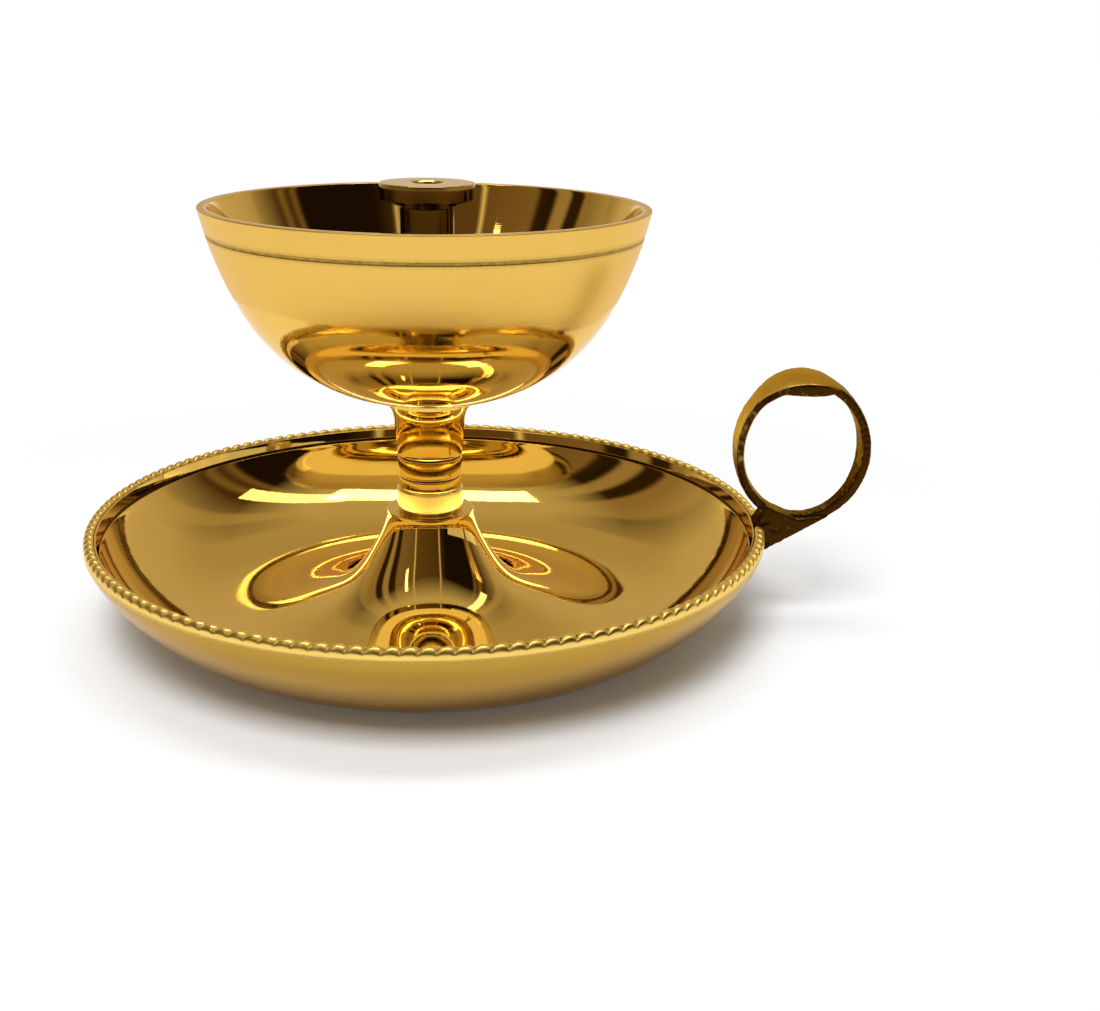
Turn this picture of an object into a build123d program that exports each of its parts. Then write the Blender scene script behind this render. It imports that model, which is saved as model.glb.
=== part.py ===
"""Brass butter lamp: drip dish on a trumpet foot, screwed stem and fuel bowl, loose wick holder, finger ring.

Millimetres. +Z is up and Z = 0 is the face the dish stands on. Every turned piece is about Z, and the finger
ring stands along +X.
"""
import math
import os

from build123d import *

# Overall sizes
lamp_height = 72.7
rim_radius = 56.1
rim_height = 18.25
ring_reach = 16.6  # beyond the rim
bowl_mouth_radius = 35.45
bowl_mouth_height = 69.25

# Fits
solder_film = 0.05
thread_clearance = 0.05
collar_clearance = 0.15
tenon_clearance = 0.02
socket_clearance = 0.05

# Drip dish
base_radius = 37.2
wall_power = 1.38
channel_inset = 5.7
floor_thickness = 1.1
well_shape = ((0.483, 0.18),)
well_top_slope = 68.0
rim_overhang = 0.1
lip_drop = 0.6
lip_thickness = 0.3
band_height = 1.7
band_lean = 0.45
groove_width = 0.5
groove_depth = 0.4

# Trumpet foot of the dish
ledge_radius = 7.25
ledge_height = 18.95
flare_shape = ((0.55, 0.114), (0.30, 0.286), (0.12, 0.574))
boss_depth = 6.6
hollow_mouth_radius = 23.0
hollow_top_radius = 6.6
hollow_shape = ((0.6, 0.2), (0.19, 0.58))

# Rope edging
rope_width = 1.6
rope_height = 1.8
rope_shoulder = 1.25
rope_flank = 0.75
rope_groove = 0.6
rope_slant = 22.0
rope_pitch = 2.4
rope_gap_angle = 6.4

# Finger ring
ring_half_width = 11.1
ring_half_height = 12.6
ring_centre_height = 30.75
ring_thickness = 1.55
ring_band_width = 6.5
ring_foot_width = 2.8
pad_length = 11.4
pad_width = 12.4
pad_thickness = 2.3
web_width = 4.0
web_foot_height = 11.15
web_bite = 0.4
web_run = 14.15
web_rise = 8.5
tang_height = 1.6

# Stem and its collar
thread_radius = 3.0
thread_depth = 6.0
collar_radius = 5.53
collar_height = 3.9
collar_chamfer = 0.25
stem_foot_radius = 5.13
stem_foot_height = 1.9
stem_ring_radius = 5.32
stem_ring_height = 3.2
stem_groove_width = 0.3
stem_groove_depth = 0.3
barrel_low_radius = 5.35
barrel_top_radius = 5.9
stem_flange_radius = 7.2
stem_flange_drop = 3.2
tenon_radius = 4.0
peen_radius = 5.2
peen_height = 0.7
socket_radius = 2.6
socket_depth = 8.0

# Fuel bowl
bowl_bottom_height = 38.15
bowl_flat_radius = 4.1
bowl_arc_radius = 29.1
bowl_arc_turn = 62.0
bowl_floor = 2.2
bowl_lip = 1.55
bowl_band_height = 3.8
bowl_band_lean = 0.98
score_width = 0.35
score_depth = 0.18

# Wick holder
holder_flange_radius = 7.53
holder_flange_height = 2.5
holder_cone_height = 1.3
holder_neck_radius = 4.3
holder_foot_radius = 6.6
holder_foot_height = 2.0
wick_bore_radius = 2.5
wick_bore_chamfer = 0.3
feed_hole_radius = 1.7
feed_hole_height = 6.8
spigot_length = 7.0

# Sizes that follow from the ones above
seat_height = rim_height - rope_height
upstand_radius = rim_radius - rope_width - solder_film
wall_top_radius = rim_radius - rim_overhang
lip_height = rim_height - lip_drop
lip_inner_radius = upstand_radius - lip_thickness
band_foot_radius = lip_inner_radius - band_lean
band_foot_height = lip_height - band_height
groove_foot_height = band_foot_height - groove_width
channel_radius = base_radius - channel_inset
hollow_top = ledge_height - boss_depth
tapped_radius = thread_radius + thread_clearance
collar_top = ledge_height + collar_height
bowl_floor_height = bowl_bottom_height + bowl_floor
bowl_arc_height = bowl_bottom_height + bowl_arc_radius
peen_low = bowl_arc_height - math.sqrt((bowl_arc_radius - bowl_floor) ** 2 - (peen_radius - bowl_flat_radius) ** 2)
peen_top = peen_low + peen_height
ring_centre_x = rim_radius + ring_reach - ring_half_width


def turned(edges):
    """Solid of revolution about Z from the edges of a closed profile drawn as (radius, height)."""
    return revolve(Plane.XZ * make_face(edges), Axis.Z)


def between(low, high, shape):
    """Points at the given shares of the way from the low to the high (radius, height) point."""
    return [
        (high[0] + share_r * (low[0] - high[0]), low[1] + share_z * (high[1] - low[1]))
        for share_r, share_z in shape
    ]


def wall_radius(height):
    """Outer radius of the dish at a height up to the rope's seat."""
    drop = 1 - height / seat_height
    return base_radius + (wall_top_radius - base_radius) * (1 - drop ** wall_power) ** (1 / wall_power)


def outer_wall():
    """Flared outside of the dish, level at its foot and upright at the rope's seat."""
    points = []
    for step in range(7):
        height = seat_height * (1 - math.cos(math.radians(90 * step / 6)) ** (2 / wall_power))
        points.append((wall_radius(height), height))
    return Spline(*points, tangents=[(1, 0), (0, 1)])


def make_dish():
    """Drip dish: round well, hollow and tapped trumpet foot, and the rebate for the rope edging."""
    channel = (channel_radius, floor_thickness)
    well_top = (band_foot_radius, groove_foot_height)
    top_slope = math.radians(well_top_slope)
    flare_high = (ledge_radius, ledge_height)
    hollow_low = (hollow_mouth_radius, 0)
    hollow_high = (hollow_top_radius, hollow_top)
    well = Spline(channel, *between(channel, well_top, well_shape), well_top,
                  tangents=[(1, 0), (math.cos(top_slope), math.sin(top_slope))])
    flare = Spline(channel, *between(channel, flare_high, flare_shape), flare_high,
                   tangents=[(-1, 0), (-0.05, 1)])
    hollow = Spline(hollow_low, *between(hollow_low, hollow_high, hollow_shape), hollow_high,
                    tangents=[(-1, 0.25), (-0.1, 1)])
    rim = Polyline(
        (wall_top_radius, seat_height),
        (upstand_radius, seat_height),
        (upstand_radius, lip_height),
        (lip_inner_radius, lip_height),
        (band_foot_radius, band_foot_height),
        (band_foot_radius + groove_depth, band_foot_height),
        (band_foot_radius + groove_depth, groove_foot_height),
        well_top,
    )
    ledge = Polyline(
        flare_high,
        (tapped_radius, ledge_height),
        (tapped_radius, hollow_top),
        hollow_high,
    )
    return turned([
        Line(hollow_low, (base_radius, 0)),
        outer_wall(),
        rim,
        well,
        flare,
        ledge,
        hollow,
    ])


def rope_section(azimuth, shrink):
    """Round-topped section of the rope, in an upright plane slanted off the radial one, its crown cut by shrink."""
    corner = rim_radius - rope_width
    middle = rim_radius - rope_width / 2
    turn = math.radians(azimuth)
    slanted = math.radians(azimuth - rope_slant)
    origin = Vector(middle * math.cos(turn), middle * math.sin(turn), seat_height)
    along = Vector(math.cos(slanted), math.sin(slanted), 0)
    run = middle * math.cos(math.radians(rope_slant))

    def reach(radius):
        return math.sqrt(run ** 2 + radius ** 2 - middle ** 2) - run

    inner = reach(corner)
    outer = reach(rim_radius)
    shoulder = (inner, rope_shoulder - shrink)
    crown = (0, rope_height - shrink)
    flank = (outer, rope_flank)
    outline = Wire([
        Line(flank, (outer, 0)),
        Line((outer, 0), (inner, 0)),
        Line((inner, 0), shoulder),
        ThreePointArc(shoulder, crown, flank),
    ])
    return Plane(origin, x_dir=along, z_dir=along.cross(Vector(0, 0, 1))) * outline


def make_rope_edging():
    """Rope wire round the rim: ruled between valleys and crests, open at the finger ring."""
    span = 360 - rope_gap_angle
    length = math.radians(span) * (rim_radius - rope_width / 2)
    steps = 2 * round(length / rope_pitch)
    sections = []
    for step in range(steps + 1):
        azimuth = rope_gap_angle / 2 + span * step / steps
        sections.append(rope_section(azimuth, 0 if step % 2 else rope_groove))
    return Solid.make_loft(sections, ruled=True)


def make_finger_ring(dish):
    """Oval finger ring, tapered to its foot, with a thumb pad on top and a web and tang fitted to the rim."""
    upright = Plane.XZ * Pos(ring_centre_x, ring_centre_height)
    outside = Ellipse(ring_half_width, ring_half_height)
    hole = Ellipse(ring_half_width - ring_thickness, ring_half_height - ring_thickness)
    band = extrude(upright * (outside - hole), ring_band_width / 2, both=True)
    ring_low = ring_centre_height - ring_half_height
    ring_top = ring_centre_height + ring_half_height
    sides = Polyline(
        (-ring_foot_width / 2, ring_low),
        (ring_foot_width / 2, ring_low),
        (ring_band_width / 2, ring_centre_height),
        (ring_band_width / 2, ring_top),
        (-ring_band_width / 2, ring_top),
        (-ring_band_width / 2, ring_centre_height),
        close=True,
    )
    band = band & extrude(Plane.YZ * make_face(sides), rim_radius + ring_reach)
    pad_foot = ring_top - pad_thickness
    pad = Pos(ring_centre_x, 0, pad_foot) * extrude(Ellipse(pad_length / 2, pad_width / 2), 2 * pad_thickness)
    pad = pad & extrude(upright * outside, pad_width / 2, both=True)
    tang_x = upstand_radius + solder_film
    web_foot_x = wall_radius(web_foot_height) - web_bite
    web = Polyline(
        (wall_top_radius - web_bite, seat_height),
        (tang_x, seat_height),
        (tang_x, seat_height + tang_height),
        (ring_centre_x - ring_half_width / 2, ring_low + 2 * ring_thickness),
        (ring_centre_x, ring_low + ring_thickness / 2),
        (web_foot_x + web_run, web_foot_height + web_rise),
        (web_foot_x, web_foot_height),
        close=True,
    )
    web = extrude(Plane.XZ * make_face(web), web_width / 2, both=True)
    return (band + pad + web) - dish


def make_stem_collar():
    """Turned collar that the stem screws down on to the foot's ledge."""
    collar = Pos(0, 0, ledge_height) * extrude(Circle(collar_radius), collar_height)
    collar = chamfer(collar.edges().filter_by(GeomType.CIRCLE), collar_chamfer)
    bore = Pos(0, 0, ledge_height) * extrude(Circle(thread_radius + collar_clearance), collar_height)
    return collar - bore


def make_stem():
    """Turned stem from its threaded spigot to the peened tenon that holds the bowl."""
    foot_top = collar_top + stem_foot_height
    ring_low = foot_top + stem_groove_width
    ring_top = ring_low + stem_ring_height
    barrel_low = ring_top + stem_groove_width
    barrel_top = bowl_bottom_height - stem_flange_drop
    flange_low = bowl_bottom_height - stem_flange_drop / 4
    seat_turn = math.degrees(math.asin((stem_flange_radius - bowl_flat_radius) / bowl_arc_radius))
    seat = CenterArc((bowl_flat_radius, bowl_arc_height), bowl_arc_radius, 270, seat_turn)
    below = Polyline(
        (0, peen_top - socket_depth),
        (0, ledge_height - thread_depth),
        (thread_radius, ledge_height - thread_depth),
        (thread_radius, collar_top),
        (stem_foot_radius, collar_top),
        (stem_foot_radius, foot_top),
        (stem_foot_radius - stem_groove_depth, foot_top),
        (stem_foot_radius - stem_groove_depth, ring_low),
        (stem_ring_radius, ring_low),
        (stem_ring_radius, ring_top),
        (stem_ring_radius - stem_groove_depth, ring_top),
        (stem_ring_radius - stem_groove_depth, barrel_low),
        (barrel_low_radius, barrel_low),
        (barrel_top_radius, barrel_top),
    )
    flare = TangentArc((barrel_top_radius, barrel_top), (stem_flange_radius, flange_low),
                       tangent=(barrel_top_radius - barrel_low_radius, barrel_top - barrel_low))
    above = Polyline(
        (bowl_flat_radius, bowl_bottom_height),
        (tenon_radius, bowl_bottom_height),
        (tenon_radius, peen_low),
        (peen_radius, peen_low),
        (peen_radius, peen_top),
        (socket_radius, peen_top),
        (socket_radius, peen_top - socket_depth),
        (0, peen_top - socket_depth),
    )
    edge = Line((stem_flange_radius, flange_low), seat @ 1)
    return turned([below, flare, edge, seat, above])


def make_bowl():
    """Fuel bowl: level centre, round belly, upright side and a scored rim band."""
    turn = math.radians(bowl_arc_turn)
    along = (math.cos(turn), math.sin(turn))

    def belly(radius):
        return CenterArc((bowl_flat_radius, bowl_arc_height), radius, 270, bowl_arc_turn)

    outer_belly = belly(bowl_arc_radius)
    inner_belly = belly(bowl_arc_radius - bowl_floor)
    band_foot = bowl_mouth_height - bowl_band_height
    band_foot_r = bowl_mouth_radius - bowl_band_lean
    score_low = band_foot - score_width
    score_low_r = band_foot_r - bowl_band_lean * score_width / bowl_band_height
    hole = tenon_radius + tenon_clearance
    floor = Polyline(
        (bowl_flat_radius, bowl_floor_height),
        (hole, bowl_floor_height),
        (hole, bowl_bottom_height),
        (bowl_flat_radius, bowl_bottom_height),
    )
    band = Polyline(
        (score_low_r, score_low),
        (score_low_r - score_depth, score_low),
        (band_foot_r - score_depth, band_foot),
        (band_foot_r, band_foot),
        (bowl_mouth_radius, bowl_mouth_height),
        (bowl_mouth_radius - bowl_lip, bowl_mouth_height),
    )
    outer_side = TangentArc(outer_belly @ 1, (score_low_r, score_low), tangent=along)
    inner_side = TangentArc(inner_belly @ 1, (bowl_mouth_radius - bowl_lip, bowl_mouth_height), tangent=along)
    return turned([floor, outer_belly, outer_side, band, inner_side, inner_belly])


def make_wick_holder():
    """Loose spool: flanged top with the wick's bore, foot, feed hole and a spigot for the stem's socket."""
    flange_low = lamp_height - holder_flange_height
    cone_low = flange_low - holder_cone_height
    foot_top = peen_top + holder_foot_height
    feed_z = peen_top + feed_hole_height
    spigot_radius = socket_radius - socket_clearance
    spool = turned([Polyline(
        (0, feed_z),
        (0, peen_top - spigot_length),
        (spigot_radius, peen_top - spigot_length),
        (spigot_radius, peen_top),
        (holder_foot_radius, peen_top),
        (holder_foot_radius, foot_top),
        (holder_neck_radius, foot_top),
        (holder_neck_radius, cone_low),
        (holder_flange_radius, flange_low),
        (holder_flange_radius, lamp_height),
        (wick_bore_radius + wick_bore_chamfer, lamp_height),
        (wick_bore_radius, lamp_height - wick_bore_chamfer),
        (wick_bore_radius, feed_z),
        close=True,
    )])
    feed_hole = extrude(Plane.XZ * Pos(0, feed_z) * Circle(feed_hole_radius), 2 * holder_neck_radius, both=True)
    return spool - feed_hole


dish = make_dish()
parts = {
    "dish": dish,
    "rope_edging": make_rope_edging(),
    "finger_ring": make_finger_ring(dish),
    "stem_collar": make_stem_collar(),
    "stem": make_stem(),
    "bowl": make_bowl(),
    "wick_holder": make_wick_holder(),
}

os.makedirs("parts", exist_ok=True)
for name, shape in parts.items():
    export_step(shape, f"parts/{name}.step")
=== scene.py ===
"""Brass butter lamp: turned dish, stem, bowl and wick holder, a rope edging and a cast finger ring.

Sizes are in millimetres and become metres as each mesh is made. +Z is the turning axis, Z = 0 the face that
the dish stands on, and the finger ring stands along +X.
"""

import logging
import math
from collections.abc import Callable
from dataclasses import dataclass
from enum import Enum
from functools import cached_property
from typing import ClassVar

import bmesh
import bpy
import numpy as np
from mathutils import Matrix, Vector, noise

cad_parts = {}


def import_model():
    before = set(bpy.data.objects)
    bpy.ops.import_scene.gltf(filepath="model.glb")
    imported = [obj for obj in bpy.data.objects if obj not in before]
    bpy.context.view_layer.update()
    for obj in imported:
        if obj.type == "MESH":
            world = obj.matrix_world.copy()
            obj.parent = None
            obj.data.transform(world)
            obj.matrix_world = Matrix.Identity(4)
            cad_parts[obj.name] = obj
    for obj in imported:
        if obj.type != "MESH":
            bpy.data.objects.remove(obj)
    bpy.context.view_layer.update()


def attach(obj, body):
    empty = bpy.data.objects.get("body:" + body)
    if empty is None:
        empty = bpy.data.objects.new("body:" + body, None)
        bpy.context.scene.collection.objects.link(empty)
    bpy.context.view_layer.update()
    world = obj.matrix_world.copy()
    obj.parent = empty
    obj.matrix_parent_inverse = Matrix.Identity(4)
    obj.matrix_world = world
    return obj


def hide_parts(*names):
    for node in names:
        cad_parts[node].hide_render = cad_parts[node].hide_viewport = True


LOG = logging.getLogger("butter_lamp")
MM = 0.001
TURNS = 288
SHARP_TURN = 20.0
CORNER_STEP = 15.0
CORNER_SHARE = 0.42

Point = tuple[float, float]
Colour = tuple[float, float, float]
Place = tuple[float, float, float]
Mark = Callable[[float, float], float]
Faces = list[tuple[int, ...]]
Tree = bpy.types.NodeTree
Socket = bpy.types.NodeSocket


class Body(Enum):
    """The rigid bodies that pieces ride on."""

    BASE = "base_body"
    COLLAR = "collar_body"
    BOWL = "bowl_body"
    HOLDER = "wick_holder_body"


class Slot(Enum):
    """The record's material slots."""

    POLISHED = "polished_brass"
    ROPE = "rope_brass"
    CAST = "cast_brass"
    TURNED = "turned_brass"


def arc_points(centre: Point, radius: float, start: float, end: float, count: int) -> list[Point]:
    """Points on an arc of a profile.

    Args:
        centre: radius and height of the arc's centre.
        radius: the arc's radius.
        start: first angle in degrees, from the outward direction.
        end: last angle in degrees.
        count: number of points, both ends included.

    Returns:
        The points in order.
    """
    angles = np.radians(np.linspace(start, end, count))
    return [(centre[0] + radius * math.cos(a), centre[1] + radius * math.sin(a)) for a in angles]


def tangent_arc(start: Point, end: Point, along: Point, count: int) -> list[Point]:
    """Arc from start to end that leaves start in a given direction.

    Args:
        start: first point.
        end: last point.
        along: unit direction at the start.
        count: number of points, both ends included.

    Returns:
        The points in order.
    """
    chord = np.subtract(end, start)
    length = float(np.hypot(*chord))
    heading = math.atan2(along[1], along[0])
    lead = math.atan2(chord[1], chord[0]) - heading
    if abs(lead) < 1e-6:
        return [tuple(np.add(start, chord * t)) for t in np.linspace(0, 1, count)]
    radius = length / (2 * math.sin(lead))
    centre = (start[0] - radius * math.sin(heading), start[1] + radius * math.cos(heading))
    turned = np.linspace(0, 2 * lead, count) + heading
    return [(centre[0] + radius * math.sin(a), centre[1] - radius * math.cos(a)) for a in turned]


def clamped_spline(knots: list[Point], first: Point, last: Point, count: int) -> list[Point]:
    """Smooth curve through knots with given end directions.

    Args:
        knots: points that the curve passes through.
        first: direction at the first knot.
        last: direction at the last knot.
        count: number of points, both ends included.

    Returns:
        The points in order.
    """
    knot = np.array(knots, dtype=float)
    gap = np.hypot(*np.diff(knot, axis=0).T)
    at = np.concatenate([[0.0], np.cumsum(gap)])
    size = len(knot)
    matrix = np.zeros((size, size))
    right = np.zeros((size, 2))
    matrix[0, 0] = 1.0
    matrix[-1, -1] = 1.0
    right[0] = np.array(first) / np.hypot(*first)
    right[-1] = np.array(last) / np.hypot(*last)
    for i in range(1, size - 1):
        matrix[i, i - 1:i + 2] = gap[i], 2 * (gap[i - 1] + gap[i]), gap[i - 1]
        before = gap[i] / gap[i - 1] * (knot[i] - knot[i - 1])
        after = gap[i - 1] / gap[i] * (knot[i + 1] - knot[i])
        right[i] = 3 * (before + after)
    slope = np.linalg.solve(matrix, right)
    points = []
    for value in np.linspace(0, at[-1], count):
        i = min(int(np.searchsorted(at, value, side="right")) - 1, size - 2)
        h = gap[i]
        t = (value - at[i]) / h
        place = ((1 + 2 * t) * (1 - t) ** 2 * knot[i] + t * (1 - t) ** 2 * h * slope[i]
                 + t * t * (3 - 2 * t) * knot[i + 1] + t * t * (t - 1) * h * slope[i + 1])
        points.append((float(place[0]), float(place[1])))
    return points


def between(low: Point, high: Point, shares: tuple[Point, ...]) -> list[Point]:
    """Points at shares of the way between two ends.

    Args:
        low: end where the radius share is 1 and the height share 0.
        high: end where the radius share is 0 and the height share 1.
        shares: radius and height share of each point.

    Returns:
        The points in order.
    """
    return [(high[0] + a * (low[0] - high[0]), low[1] + b * (high[1] - low[1])) for a, b in shares]


def smooth_step(value: float, low: float, high: float) -> float:
    """Ease from 0 at low to 1 at high."""
    share = min(1.0, max(0.0, (value - low) / (high - low)))
    return share * share * (3 - 2 * share)


def soften(points: list[Point], radius: float, closed: bool) -> list[Point]:
    """Round every corner of a profile that turns sharply.

    Args:
        points: the profile.
        radius: largest rounding radius.
        closed: whether the last point joins the first.

    Returns:
        The profile with its corners rounded.
    """
    count = len(points)
    result = []
    for i, here in enumerate(points):
        if not closed and i in (0, count - 1):
            result.append(here)
            continue
        back = np.subtract(points[i - 1], here)
        ahead = np.subtract(points[(i + 1) % count], here)
        back_length = float(np.hypot(*back))
        ahead_length = float(np.hypot(*ahead))
        back /= back_length
        ahead /= ahead_length
        turn = math.pi - math.acos(float(np.clip(np.dot(back, ahead), -1, 1)))
        if turn < math.radians(SHARP_TURN):
            result.append(here)
            continue
        reach = min(radius * math.tan(turn / 2), CORNER_SHARE * back_length, CORNER_SHARE * ahead_length)
        steps = max(4, math.ceil(math.degrees(turn) / CORNER_STEP))
        for t in np.linspace(0, 1, steps + 1):
            share = np.add(here, back * reach * (1 - t) ** 2 + ahead * reach * t ** 2)
            result.append((float(share[0]), float(share[1])))
    return result


def fill_in(points: list[Point], step: float, closed: bool) -> list[Point]:
    """Divide the long runs of a profile.

    Args:
        points: the profile.
        step: longest run that is left whole.
        closed: whether the last point joins the first.

    Returns:
        The profile with points added on its long runs.
    """
    result = []
    ends = points[1:] + ([points[0]] if closed else [])
    for here, there in zip(points, ends):
        pieces = max(1, math.ceil(math.dist(here, there) / step))
        run = (there[0] - here[0], there[1] - here[1])
        for k in range(pieces):
            result.append((here[0] + run[0] * k / pieces, here[1] + run[1] * k / pieces))
    if not closed:
        result.append(points[-1])
    return result


def tube_faces(rows: int, columns: int, closed: bool) -> Faces:
    """Faces of a tube made of vertex rings.

    Args:
        rows: number of rings.
        columns: vertices in each ring.
        closed: whether the last ring joins the first.

    Returns:
        Vertex numbers of each face.
    """
    faces = []
    for i in range(rows if closed else rows - 1):
        low = i * columns
        high = (i + 1) % rows * columns
        for k in range(columns):
            m = (k + 1) % columns
            faces.append((low + k, low + m, high + m, high + k))
    return faces


def link_piece(mesh: bpy.types.Mesh) -> bpy.types.Object:
    """Put a mesh in the scene as an object of the same name.

    Args:
        mesh: the mesh.

    Returns:
        The new object.
    """
    piece = bpy.data.objects.new(mesh.name, mesh)
    bpy.context.scene.collection.objects.link(piece)
    return piece


def link_mesh(name: str, vertices: np.ndarray, faces: Faces, unit: float = MM) -> bpy.types.Object:
    """Make a smooth-shaded object.

    Args:
        name: the piece's name.
        vertices: one row of x, y, z for each vertex.
        faces: vertex numbers of each face.
        unit: metres that one unit of the vertices becomes.

    Returns:
        The new object, in the scene.
    """
    mesh = bpy.data.meshes.new(name)
    mesh.from_pydata((vertices * unit).tolist(), [], faces)
    work = bmesh.new()
    work.from_mesh(mesh)
    bmesh.ops.recalc_face_normals(work, faces=work.faces)
    work.to_mesh(mesh)
    work.free()
    mesh.shade_smooth()
    return link_piece(mesh)


def worked(piece: bpy.types.Object, name: str) -> bpy.types.Mesh:
    """Work a piece's modifiers into a new mesh, and remove the piece.

    Args:
        piece: the object.
        name: the new mesh's name.

    Returns:
        The new mesh.
    """
    graph = bpy.context.evaluated_depsgraph_get()
    mesh = bpy.data.meshes.new_from_object(piece.evaluated_get(graph))
    mesh.name = name
    bpy.data.objects.remove(piece)
    return mesh


def store(piece: bpy.types.Object, name: str, values: np.ndarray) -> None:
    """Keep one number for each vertex under a name that materials read.

    Args:
        piece: the object.
        name: the attribute's name.
        values: one number for each vertex.
    """
    layer = piece.data.attributes.new(name, "FLOAT", "POINT")
    layer.data.foreach_set("value", np.asarray(values, dtype=np.float32))


def turned_piece(name: str, profile: list[Point], closed: bool, marks: dict[str, Mark]) -> bpy.types.Object:
    """Turn a profile about Z.

    Args:
        name: the piece's name.
        profile: radius and height of each point, in millimetres.
        closed: whether the profile is a closed loop; an open one starts and ends on the axis.
        marks: attribute name to a function of radius and height, from 0 to 1.

    Returns:
        The turned object with its marks as attributes.
    """
    angles = np.linspace(0, 2 * math.pi, TURNS, endpoint=False)
    vertices = []
    rings = []
    for radius, height in profile:
        first = len(vertices)
        if radius < 1e-4:
            vertices.append((0.0, 0.0, height))
            rings.append([first] * TURNS)
            continue
        vertices.extend((radius * math.cos(a), radius * math.sin(a), height) for a in angles)
        rings.append(list(range(first, first + TURNS)))
    faces = []
    pairs = list(zip(rings, rings[1:])) + ([(rings[-1], rings[0])] if closed else [])
    for low, high in pairs:
        for k in range(TURNS):
            corner = (low[k], low[(k + 1) % TURNS], high[(k + 1) % TURNS], high[k])
            faces.append(tuple(dict.fromkeys(corner)))
    piece = link_mesh(name, np.array(vertices), faces)
    for label, mark in marks.items():
        store(piece, label, np.array([mark(math.hypot(x, y), z) for x, y, z in vertices]))
    return piece


def place(piece: bpy.types.Object, body: Body, slot: Slot, node: str, finish: bpy.types.Material) -> None:
    """Dress a piece, put it in a node's place and let it ride on that node's body.

    Args:
        piece: the object.
        body: the body it moves with.
        slot: the record's material slot; not used.
        node: the CAD node that it stands for.
        finish: its material.
    """
    piece.data.materials.append(finish)
    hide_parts(node)
    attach(piece, body.value)
    LOG.info("%s: %d faces on %s", piece.name, len(piece.data.polygons), body.value)


def second_finish(piece: bpy.types.Object, finish: bpy.types.Material, chosen: Mark) -> None:
    """Give some faces of a piece another finish.

    Args:
        piece: the object.
        finish: the other material.
        chosen: a function of radius and height that is true for the faces that take it.
    """
    piece.data.materials.append(finish)
    for face in piece.data.polygons:
        middle = face.center / MM
        face.material_index = int(chosen(math.hypot(middle.x, middle.y), middle.z))


@dataclass
class Wiring:
    """Adds nodes to one node tree and feeds them."""

    tree: Tree

    def node(self, kind: str, output: str | int, inputs: dict, **settings: object) -> Socket:
        """Add a node and feed its inputs.

        Args:
            kind: the node's type.
            output: name or number of the output that is wanted.
            inputs: name or number of each input to the socket, number, colour or list that feeds it.
            settings: the node's own settings.

        Returns:
            The output's socket.
        """
        node = self.tree.nodes.new(kind)
        for name, value in settings.items():
            setattr(node, name, value)
        for label, value in inputs.items():
            if isinstance(value, Socket):
                self.join(value, node.inputs[label])
            else:
                node.inputs[label].default_value = (*value, 1.0) if isinstance(value, tuple) else value
        return node.outputs[output]

    def join(self, output: Socket, target: Socket) -> None:
        """Link an output to an input."""
        self.tree.links.new(output, target)

    def math(self, operation: str, *values: Socket | float) -> Socket:
        """Add a Math node fed by sockets or plain numbers."""
        return self.node("ShaderNodeMath", 0, dict(enumerate(values)), operation=operation)

    def noise(self, vector: Socket, scale: float, detail: float) -> Socket:
        """Add a Noise Texture node with features per metre and octaves of finer noise."""
        return self.node("ShaderNodeTexNoise", "Fac", {"Vector": vector, "Scale": scale, "Detail": detail})

    def ramp(self, value: Socket, low: float, high: float) -> Socket:
        """Stretch a value so that low becomes 0 and high becomes 1, and clamp it."""
        inputs = {"Value": value, "From Min": low, "From Max": high}
        return self.node("ShaderNodeMapRange", "Result", inputs)

    def mix(self, share: Socket, first: Socket, second: Socket) -> Socket:
        """Mix two colours; a share of 1 is all of the second."""
        return self.node("ShaderNodeMix", 2, {"Factor": share, 6: first, 7: second}, data_type="RGBA")

    def here(self) -> Socket:
        """Coordinates on the piece, in metres."""
        return self.node("ShaderNodeTexCoord", "Object", {})

    def length(self, vector: Socket) -> Socket:
        """Length of a vector."""
        return self.node("ShaderNodeVectorMath", "Value", {0: vector}, operation="LENGTH")

    def mark(self, name: str) -> Socket:
        """Read a number that is stored on the vertices."""
        return self.node("ShaderNodeAttribute", "Fac", {}, attribute_name=name)

    def around_axis(self) -> Socket:
        """Coordinates that are the same all round the turning axis: radius, height, 0.

        Returns:
            The coordinates' socket.
        """
        here = self.here()
        flat = self.node("ShaderNodeVectorMath", "Vector", {0: here, 1: [1, 1, 0]}, operation="MULTIPLY")
        height = self.node("ShaderNodeSeparateXYZ", "Z", {0: here})
        return self.node("ShaderNodeCombineXYZ", "Vector", {"X": self.length(flat), "Y": height})


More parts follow.
